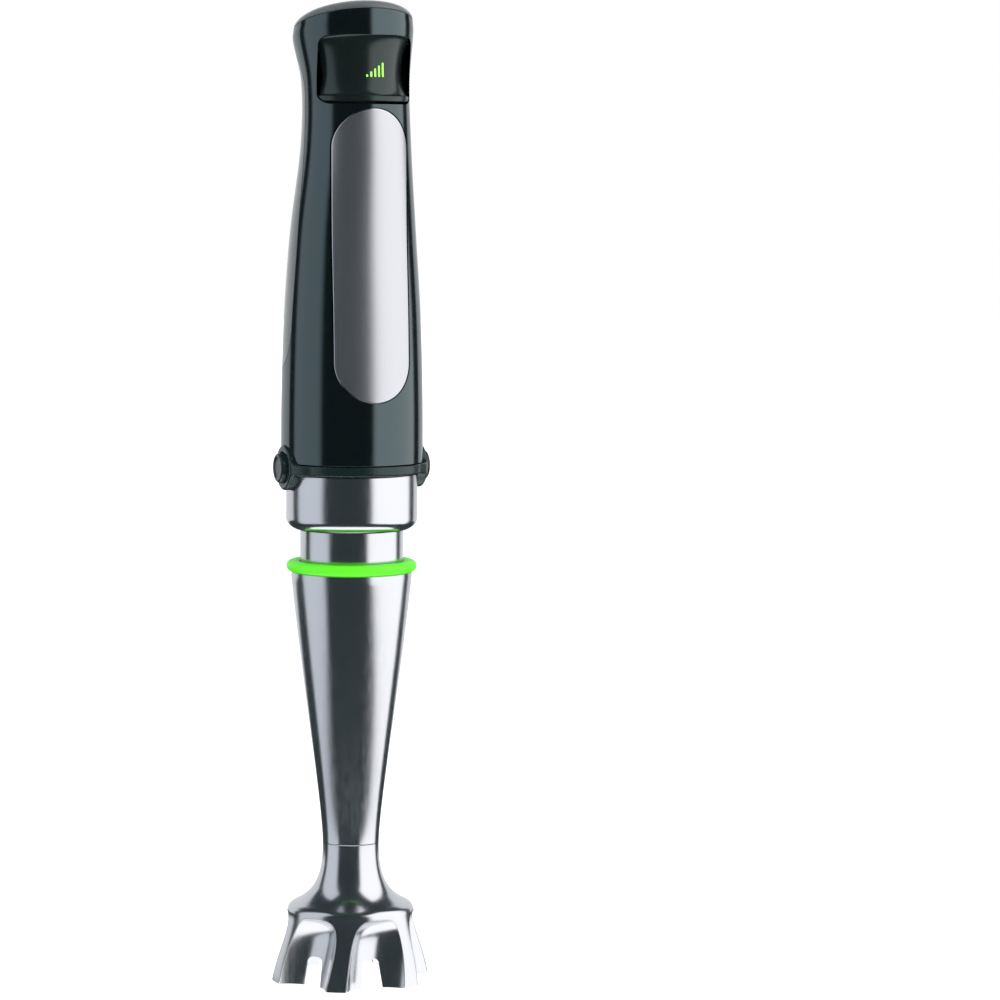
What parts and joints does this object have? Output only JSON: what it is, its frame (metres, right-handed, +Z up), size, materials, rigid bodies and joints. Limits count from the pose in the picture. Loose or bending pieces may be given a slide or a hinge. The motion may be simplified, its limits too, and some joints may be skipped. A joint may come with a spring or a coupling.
{
  "type": "immersion blender",
  "caption": "Hand-held immersion blender: tapering motor handle with squeeze trigger and metal plate, pull-off shaft, sprung steel shaft tube and legged blending bell over a winged blade.",
  "frame": {"origin": "centre of the circle that the bell's feet stand on", "axes": "+Z up along the shaft towards the head, -Y towards the front with the trigger and the metal plate, +X towards one release button"},
  "size_m": [0.0664, 0.0614, 0.4035],
  "materials": {
    "polished_steel": "satin",
    "brushed_plate": "brushed",
    "inner_steel": "satin",
    "gloss_black": "gloss",
    "soft_grey": "matt",
    "black_plastic": "matt",
    "trigger_black": "gloss",
    "green_silicone": "satin",
    "green_light": "gloss",
    "dark_rubber": "matt",
    "bronze": "satin",
    "laminations": "satin",
    "copper": "satin",
    "cast_alloy": "satin",
    "brass": "satin",
    "carbon": "matt",
    "board_green": "satin",
    "capacitor_blue": "satin",
    "white_nylon": "matt"
  },
  "bodies": {
    "handle": {"base_ring": "black_plastic", "front_shell": "gloss_black", "rear_shell": "gloss_black", "rear_grip": "soft_grey", "front_plate": "brushed_plate", "top_cap": "soft_grey", "socket": "black_plastic", "socket_seal": "dark_rubber", "retaining_wire": "inner_steel", "release_springs": "inner_steel", "case_screws": "inner_steel", "cord_gland": "dark_rubber", "lower_bracket": "cast_alloy", "upper_bracket": "cast_alloy", "lower_bearing": "inner_steel", "upper_bearing": "inner_steel", "motor_mount": "dark_rubber", "motor_bolts": "inner_steel", "stator": "laminations", "field_coils": "copper", "brush_holders": "brass", "brushes": "carbon", "circuit_board": "board_green", "capacitor": "capacitor_blue", "speed_sensor": "black_plastic", "safety_switch": "black_plastic", "control_frame": "black_plastic", "trigger_pin": "inner_steel", "trigger_spring": "inner_steel", "safety_spring": "inner_steel"},
    "rotor": {"motor_shaft": "inner_steel", "armature": "laminations", "windings": "copper", "commutator": "copper", "fan": "white_nylon", "motor_coupling": "white_nylon"},
    "speed_trigger": {"trigger_shell": "trigger_black", "trigger_lever": "black_plastic", "speed_bars": "green_light"},
    "safety_button": {"safety_button": "black_plastic"},
    "release_left": {"release_button_left": "black_plastic"},
    "release_right": {"release_button_right": "black_plastic"},
    "attachment": {"collar_shell": "polished_steel", "collar_core": "black_plastic", "sleeve": "polished_steel", "guide_tube": "inner_steel", "upper_bush": "bronze", "stop_clip": "inner_steel", "stroke_spring": "inner_steel"},
    "drive_shaft": {"drive_rod": "inner_steel", "blade_hub": "inner_steel", "blade": "polished_steel", "drive_coupling": "white_nylon"},
    "foot": {"bell": "polished_steel", "lower_bush_housing": "black_plastic", "lower_bush": "bronze", "shaft_seal": "dark_rubber", "shaft_tube": "polished_steel", "soft_ring": "green_silicone", "guide_carrier": "black_plastic"}
  },
  "joints": [
    {"name": "trigger_squeeze", "type": "hinge", "parent": "handle", "child": "speed_trigger", "pos_m": [0, -0.016, 0.3864], "axis": [1, 0, 0], "range_deg": [0, 10], "stiffness_Nm_per_rad": 0.5, "springref_deg": -8.59},
    {"name": "safety_press", "type": "slide", "parent": "handle", "child": "safety_button", "axis": [0, -0.2589, -0.9659], "range_m": [0, 0.0022], "stiffness_N_per_m": 900, "springref_m": -0.002, "deforming": ["safety_spring"]},
    {"name": "release_left_press", "type": "slide", "parent": "handle", "child": "release_left", "axis": [1, 0, 0], "range_m": [0, 0.0025], "stiffness_N_per_m": 1200, "springref_m": -0.002, "deforming": ["release_springs", "retaining_wire"]},
    {"name": "release_right_press", "type": "slide", "parent": "handle", "child": "release_right", "axis": [-1, 0, 0], "range_m": [0, 0.0025], "stiffness_N_per_m": 1200, "springref_m": -0.002},
    {"name": "motor_spin", "type": "hinge", "parent": "handle", "child": "rotor", "pos_m": [0, 0, 0.29], "axis": [0, 0, 1], "continuous": true},
    {"name": "attachment_release", "type": "slide", "parent": "handle", "child": "attachment", "axis": [0, 0, -1], "range_m": [0, 0.06]},
    {"name": "drive_spin", "type": "hinge", "parent": "attachment", "child": "drive_shaft", "pos_m": [0, 0, 0.19], "axis": [0, 0, 1], "continuous": true},
    {"name": "active_stroke", "type": "slide", "parent": "attachment", "child": "foot", "axis": [0, 0, 1], "range_m": [0, 0.011], "stiffness_N_per_m": 600, "springref_m": -0.02, "deforming": ["stroke_spring"]}
  ],
  "couplings": [
    {"joint": "drive_spin", "follows": "motor_spin", "ratio": 1}
  ]
}
